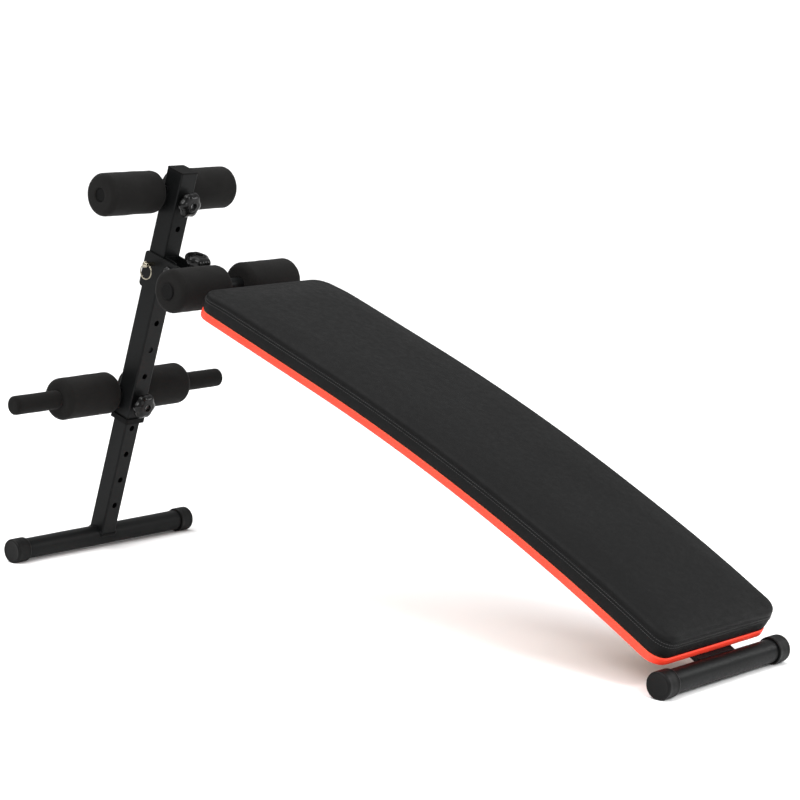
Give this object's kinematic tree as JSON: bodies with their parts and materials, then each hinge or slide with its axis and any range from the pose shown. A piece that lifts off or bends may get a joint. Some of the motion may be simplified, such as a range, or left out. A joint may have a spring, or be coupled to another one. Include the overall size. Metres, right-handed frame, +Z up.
{
  "type": "decline sit up bench",
  "caption": "Folding decline sit-up bench: curved padded board on a beam, telescoping square mast with foam leg rollers, hand grips and star knobs, on round foot bars.",
  "frame": {"origin": "centre of the footprint on the floor, midway between the two foot bars", "axes": "+X from the mast end to the low tail end of the board, +Y across to the left of a user lying head down the board, +Z up"},
  "size_m": [1.4482, 0.514, 0.7257],
  "materials": {
    "board_cover": "black leatherette, fine grain, soft sheen",
    "board_edge": "satin orange-red",
    "board_core": "raw plywood",
    "frame_steel": "satin black powder coat",
    "foot_cap": "moulded black, finely ribbed",
    "tube_plug": "moulded black",
    "knob": "glossy black",
    "zinc": "zinc plated",
    "pin_steel": "bright nickel plate",
    "roller_foam": "black closed-cell foam, matt",
    "grip_foam": "black closed-cell foam, matt"
  },
  "bodies": {
    "bench": {"main_beam": "frame_steel", "beam_end_plug": "tube_plug", "beam_knob_stud": "zinc", "beam_weld_nut": "frame_steel", "board_core": "board_core", "board_edge_band": "board_edge", "board_pad": "board_cover", "board_bolts": "zinc", "tee_nuts": "zinc", "front_cross_plate": "frame_steel", "middle_cross_plate": "frame_steel", "rear_foot_plate": "frame_steel", "rear_foot_tube": "frame_steel", "rear_foot_cap_left": "foot_cap", "rear_foot_cap_right": "foot_cap", "thigh_cross_tube": "frame_steel", "thigh_plug_left": "tube_plug", "thigh_plug_right": "tube_plug"},
    "fork": {"fork_plate_left": "frame_steel", "fork_plate_right": "frame_steel", "fork_web": "frame_steel", "fork_stub_tube": "frame_steel", "fork_glide_plug": "tube_plug", "pivot_bolt": "zinc", "pivot_lock_nut": "zinc"},
    "lock_pin": {"ring_pin": "pin_steel"},
    "pull_ring": {"pin_ring": "pin_steel"},
    "mast": {"mast_tube": "frame_steel", "mast_top_cap": "tube_plug", "mast_bottom_collar": "tube_plug", "pivot_lug": "frame_steel"},
    "stand": {"post_tube": "frame_steel", "post_glide_plug": "tube_plug", "front_foot_tube": "frame_steel", "front_foot_cap_left": "foot_cap", "front_foot_cap_right": "foot_cap"},
    "top_carriage": {"top_carriage_bracket": "frame_steel", "top_carriage_cross_tube": "frame_steel", "top_carriage_bolt": "zinc", "top_plug_left": "tube_plug", "top_plug_right": "tube_plug"},
    "low_carriage": {"low_carriage_bracket": "frame_steel", "low_carriage_cross_tube": "frame_steel", "low_carriage_bolt": "zinc", "grip_left": "grip_foam", "grip_right": "grip_foam"},
    "top_foam_left": {"top_roller_left": "roller_foam"},
    "top_foam_right": {"top_roller_right": "roller_foam"},
    "low_foam_left": {"low_roller_left": "roller_foam"},
    "low_foam_right": {"low_roller_right": "roller_foam"},
    "thigh_foam_left": {"thigh_roller_left": "roller_foam"},
    "thigh_foam_right": {"thigh_roller_right": "roller_foam"},
    "top_knob": {"top_carriage_knob": "knob", "top_carriage_knob_insert": "zinc"},
    "low_knob": {"low_carriage_knob": "knob", "low_carriage_knob_insert": "zinc"},
    "leg_length_knob": {"beam_knob": "knob", "beam_knob_insert": "zinc"}
  },
  "joints": [
    {"name": "leg_length_slide", "type": "slide", "parent": "bench", "child": "fork", "axis": [-0.9373, 0, 0.3486], "range_m": [0, 0.106]},
    {"name": "mast_fold", "type": "hinge", "parent": "fork", "child": "mast", "pos_m": [-0.49876, 0, 0.53549], "axis": [0, -1, 0], "range_deg": [0, 68]},
    {"name": "height_slide", "type": "slide", "parent": "mast", "child": "stand", "axis": [-0.2974, 0, -0.9548], "range_m": [-0.159, 0.053]},
    {"name": "top_roller_height", "type": "slide", "parent": "mast", "child": "top_carriage", "axis": [0.2974, 0, 0.9548], "range_m": [-0.053, 0]},
    {"name": "low_roller_height", "type": "slide", "parent": "mast", "child": "low_carriage", "axis": [0.2974, 0, 0.9548], "range_m": [0, 0.159]},
    {"name": "pin_pull", "type": "slide", "parent": "fork", "child": "lock_pin", "axis": [0, -1, 0], "range_m": [0, 0.025]},
    {"name": "ring_swing", "type": "hinge", "parent": "lock_pin", "child": "pull_ring", "pos_m": [-0.53814, -0.04025, 0.54692], "axis": [-1, 0, 0], "range_deg": [0, 90]},
    {"name": "top_foam_left_turn", "type": "hinge", "parent": "top_carriage", "child": "top_foam_left", "pos_m": [-0.53481, 0, 0.67785], "axis": [0, 1, 0], "continuous": true},
    {"name": "top_foam_right_turn", "type": "hinge", "parent": "top_carriage", "child": "top_foam_right", "pos_m": [-0.53481, 0, 0.67785], "axis": [0, 1, 0], "continuous": true},
    {"name": "low_foam_left_turn", "type": "hinge", "parent": "low_carriage", "child": "low_foam_left", "pos_m": [-0.65257, 0, 0.29976], "axis": [0, 1, 0], "continuous": true},
    {"name": "low_foam_right_turn", "type": "hinge", "parent": "low_carriage", "child": "low_foam_right", "pos_m": [-0.65257, 0, 0.29976], "axis": [0, 1, 0], "continuous": true},
    {"name": "thigh_foam_left_turn", "type": "hinge", "parent": "bench", "child": "thigh_foam_left", "pos_m": [-0.36727, 0, 0.52126], "axis": [0, 1, 0], "continuous": true},
    {"name": "thigh_foam_right_turn", "type": "hinge", "parent": "bench", "child": "thigh_foam_right", "pos_m": [-0.36727, 0, 0.52126], "axis": [0, 1, 0], "continuous": true},
    {"name": "top_knob_turn", "type": "hinge", "parent": "top_carriage", "child": "top_knob", "pos_m": [-0.48101, 0, 0.66109], "axis": [0.9548, 0, -0.2974], "continuous": true},
    {"name": "low_knob_turn", "type": "hinge", "parent": "low_carriage", "child": "low_knob", "pos_m": [-0.59877, 0, 0.28301], "axis": [0.9548, 0, -0.2974], "continuous": true},
    {"name": "leg_length_knob_turn", "type": "hinge", "parent": "bench", "child": "leg_length_knob", "pos_m": [-0.45113, 0, 0.54594], "axis": [0.3486, 0, 0.9373], "continuous": true}
  ]
}
